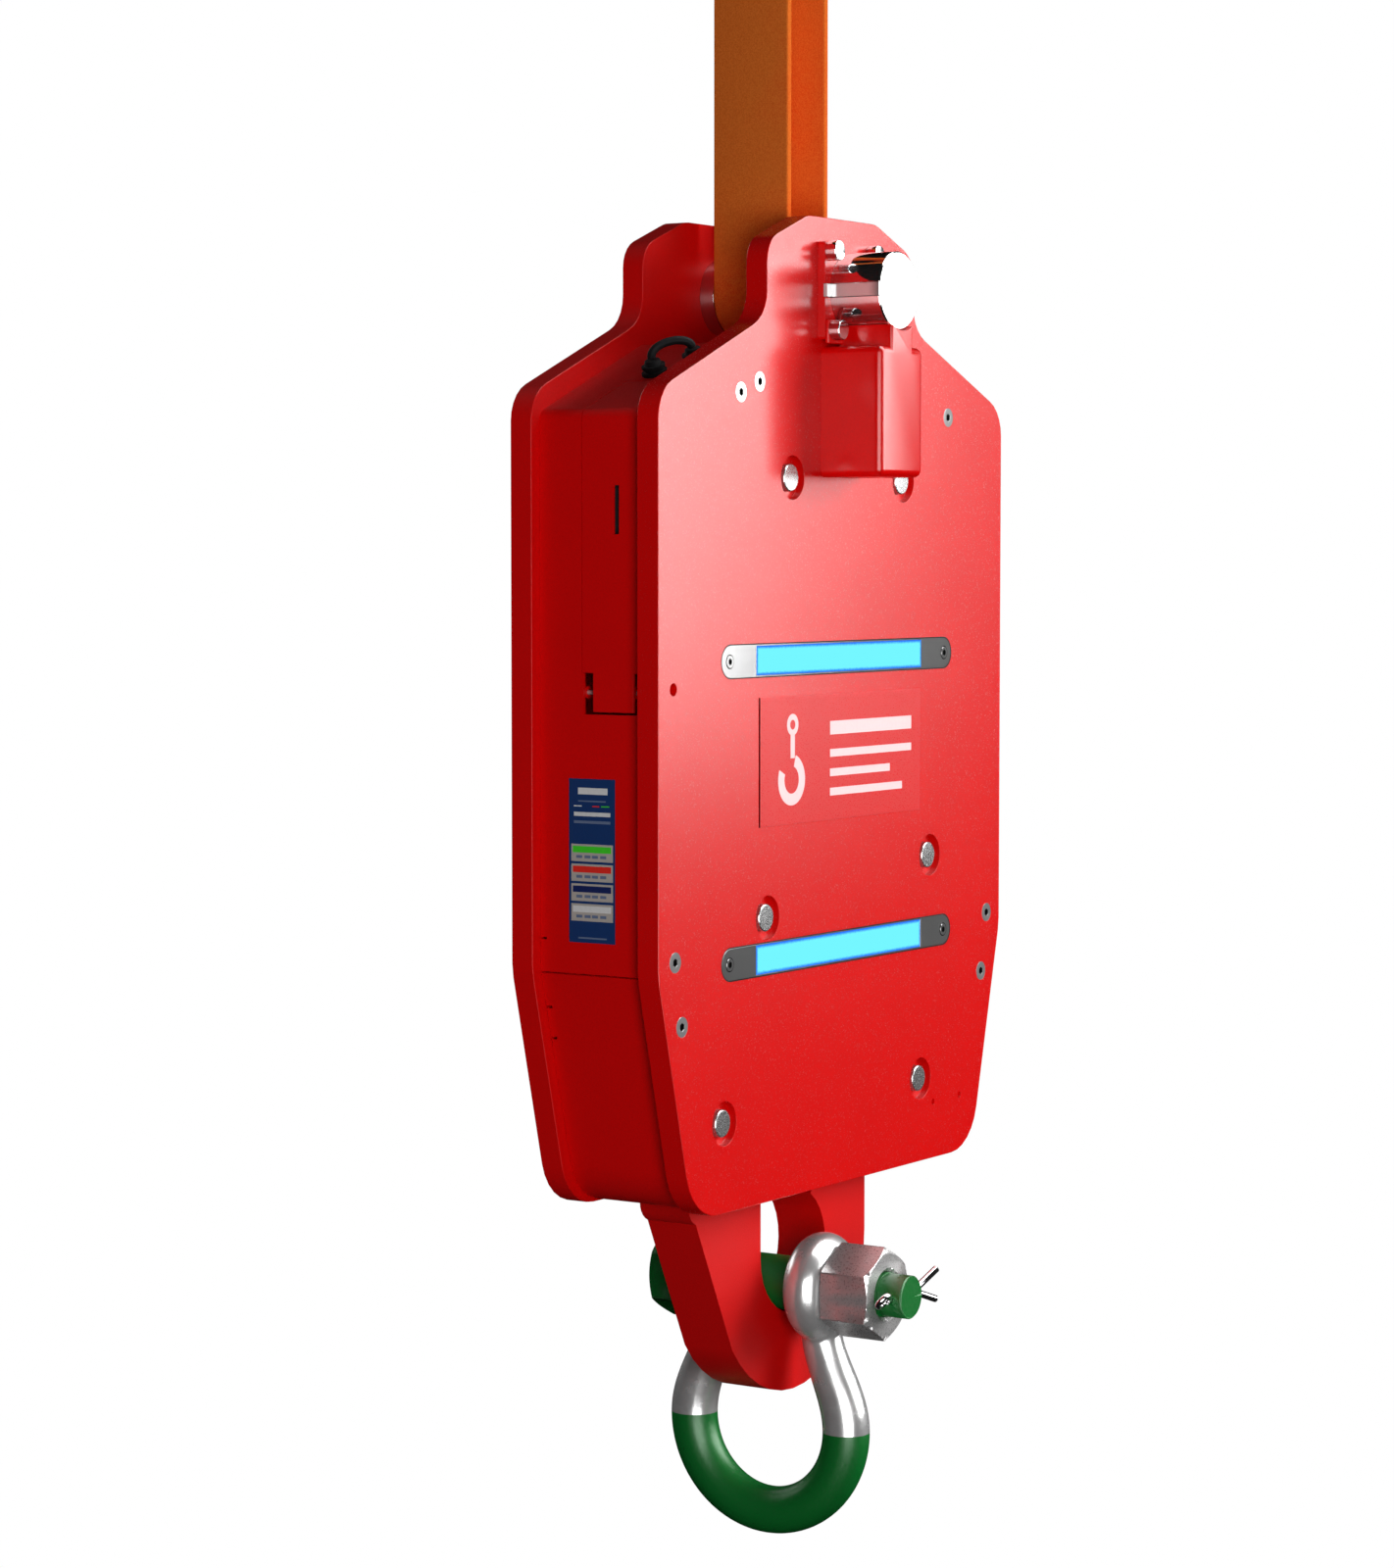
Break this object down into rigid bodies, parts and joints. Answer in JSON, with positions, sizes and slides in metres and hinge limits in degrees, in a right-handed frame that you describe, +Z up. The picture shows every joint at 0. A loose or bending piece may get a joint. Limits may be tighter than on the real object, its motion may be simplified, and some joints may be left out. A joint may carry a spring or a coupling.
{
  "type": "crane hook block",
  "caption": "Powered release hook block between thick side plates, hung on a webbing sling and carrying a bow shackle, with status light bars and a load-measuring pin.",
  "frame": {"origin": "inside top of the sling's upper bight, where the crane hook that carries the block bears", "axes": "+Z up along the sling; +Y from the load-cell side plate towards the back plate; +X to the right seen from the load-cell side, from the hook's tip towards the hook's shaft"},
  "size_m": [0.6872, 0.2975, 1.6633],
  "materials": {
    "red_paint": "semi-gloss sprayed enamel, darker at edges and seams",
    "bright_steel": "machined, satin",
    "oiled_steel": "blackened and oiled",
    "galvanised": "hot-dip galvanised, semi-bright",
    "green_paint": "gloss dipped paint",
    "black_rubber": "moulded, matt",
    "black_plastic": "moulded, fine grain",
    "bronze": "turned",
    "grey_aluminium": "anodised dark grey",
    "cyan_lens": "lit diffusing lens",
    "circuit_board": "solder mask",
    "orange_webbing": "woven polyester webbing",
    "label_film": null
  },
  "bodies": {
    "sling": {"webbing_sling": "orange_webbing"},
    "housing": {"front_plate": "red_paint", "back_plate": "red_paint", "casing_upper_left": "red_paint", "casing_lower_left": "red_paint", "casing_upper_right": "red_paint", "casing_lower_right": "red_paint", "door_hinge_pin": "bright_steel", "battery_pack": "black_plastic", "control_case": "black_plastic", "control_lid": "black_plastic", "control_board": "circuit_board", "load_pin": "bright_steel", "gauge_plug": "black_plastic", "pin_flange": "red_paint", "keeper_key": "bright_steel", "flange_bolt_1": "bright_steel", "flange_bolt_2": "bright_steel", "flange_bolt_3": "bright_steel", "flange_bolt_4": "bright_steel", "load_cell_box": "red_paint", "load_cell_board": "circuit_board", "tie_bar_upper_left": "bright_steel", "tie_bar_upper_right": "bright_steel", "tie_bar_middle_left": "bright_steel", "tie_bar_middle_right": "bright_steel", "pawl_shaft": "bright_steel", "hook_shaft": "bright_steel", "light_housing_front_upper": "grey_aluminium", "light_housing_front_lower": "grey_aluminium", "light_housing_back_upper": "grey_aluminium", "light_housing_back_lower": "grey_aluminium", "light_lens_front_upper": "cyan_lens", "light_lens_front_lower": "cyan_lens", "light_lens_back_upper": "cyan_lens", "light_lens_back_lower": "cyan_lens", "plate_screw_1": "bright_steel", "plate_screw_2": "bright_steel", "plate_screw_3": "bright_steel", "plate_screw_4": "bright_steel", "plate_screw_5": "bright_steel", "plate_screw_6": "bright_steel", "plate_screw_7": "bright_steel", "hook_spacer_front": "oiled_steel", "hook_spacer_back": "oiled_steel", "gear_motor": "black_plastic", "pawl_actuator": "black_plastic", "roof_gland_1": "black_rubber", "roof_gland_2": "black_rubber", "gauge_cable": "black_rubber"},
    "hook": {"hook": "red_paint", "hook_bush": "bronze", "hook_gear": "oiled_steel"},
    "pinion": {"drive_pinion": "oiled_steel"},
    "pawl": {"lock_pawl": "oiled_steel"},
    "door": {"battery_door": "red_paint"},
    "shackle": {"shackle_bow": "galvanised", "shackle_pin": "green_paint", "shackle_nut": "galvanised", "shackle_cotter": "galvanised"}
  },
  "joints": [
    {"name": "block_swing", "type": "hinge", "parent": "sling", "child": "housing", "pos_m": [0, 0, -0.35], "axis": [0, 1, 0], "range_deg": [-25, 25]},
    {"name": "hook_open", "type": "hinge", "parent": "housing", "child": "hook", "pos_m": [0.1673, 0, -1.1825], "axis": [0, -1, 0], "range_deg": [0, 95]},
    {"name": "pinion_spin", "type": "hinge", "parent": "housing", "child": "pinion", "pos_m": [0.0993, 0, -1.06472], "axis": [0, -1, 0], "range_deg": [-265, 0]},
    {"name": "pawl_lock", "type": "hinge", "parent": "housing", "child": "pawl", "pos_m": [-0.2255, 0, -1.1825], "axis": [0, -1, 0], "range_deg": [0, 20]},
    {"name": "door_open", "type": "hinge", "parent": "housing", "child": "door", "pos_m": [-0.3205, 0, -0.753], "axis": [0, -1, 0], "range_deg": [0, 90]},
    {"name": "shackle_swing", "type": "hinge", "parent": "hook", "child": "shackle", "pos_m": [0, 0, -1.3847], "axis": [0, 1, 0], "range_deg": [-70, 70]}
  ],
  "couplings": [
    {"joint": "pinion_spin", "follows": "hook_open", "ratio": -2.7778}
  ]
}
